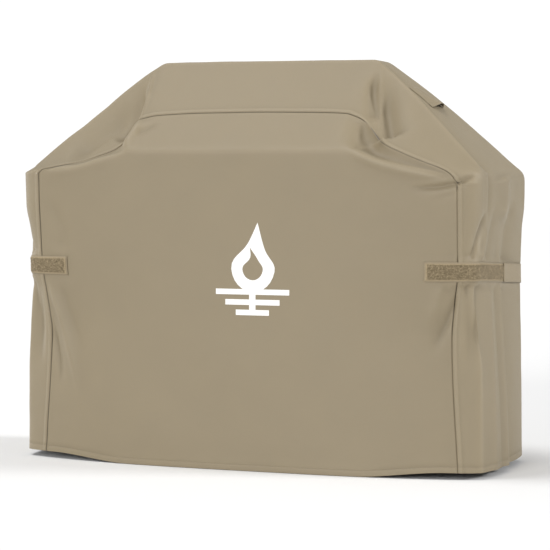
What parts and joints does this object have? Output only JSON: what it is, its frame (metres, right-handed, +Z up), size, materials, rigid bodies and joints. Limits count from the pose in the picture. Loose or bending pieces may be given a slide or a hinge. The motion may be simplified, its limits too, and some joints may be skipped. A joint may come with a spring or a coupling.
{
  "type": "grill cover",
  "caption": "Fitted cloth cover for a cart grill: stepped hood shape, open underneath, with side straps and hooded vents on its shoulders.",
  "frame": {"origin": "middle of the footprint, on the ground the hem reaches", "axes": "+X to the right as one faces the front, -Y towards the front, +Z up"},
  "size_m": [1.48, 0.6114, 1.204],
  "materials": {
    "cover_cloth": "plain woven coated polyester, khaki, matte with a faint sheen",
    "seam_tape": "smooth bonded tape, slightly glossy",
    "emblem_print": "flat off-white transfer print",
    "loop_tape": "fuzzy loop pile",
    "hook_tape": "stiff hook tape",
    "vent_mesh": "open dark mesh"
  },
  "bodies": {
    "cover": {"front_panel": "cover_cloth", "back_panel": "cover_cloth", "top_side_panel": "cover_cloth", "bottom_hem": "cover_cloth", "front_seam_tape": "seam_tape", "back_seam_tape": "seam_tape", "front_emblem": "emblem_print", "left_strap_band": "cover_cloth", "left_loop_tape": "loop_tape", "left_vent_hood": "cover_cloth", "left_vent_mesh": "vent_mesh", "right_strap_band": "cover_cloth", "right_loop_tape": "loop_tape", "right_vent_hood": "cover_cloth", "right_vent_mesh": "vent_mesh"},
    "left_strap": {"left_strap_tongue": "cover_cloth", "left_hook_tape": "hook_tape"},
    "right_strap": {"right_strap_tongue": "cover_cloth", "right_hook_tape": "hook_tape"}
  },
  "joints": [
    {"name": "right_strap_peel", "type": "hinge", "parent": "cover", "child": "right_strap", "pos_m": [0.65499, 0.25741, 0.5575], "axis": [0.111, 0.0978, 0.989], "range_deg": [0, 140]},
    {"name": "left_strap_peel", "type": "hinge", "parent": "cover", "child": "left_strap", "pos_m": [-0.65499, 0.25741, 0.5575], "axis": [0.111, -0.0978, -0.989], "range_deg": [0, 140]}
  ]
}
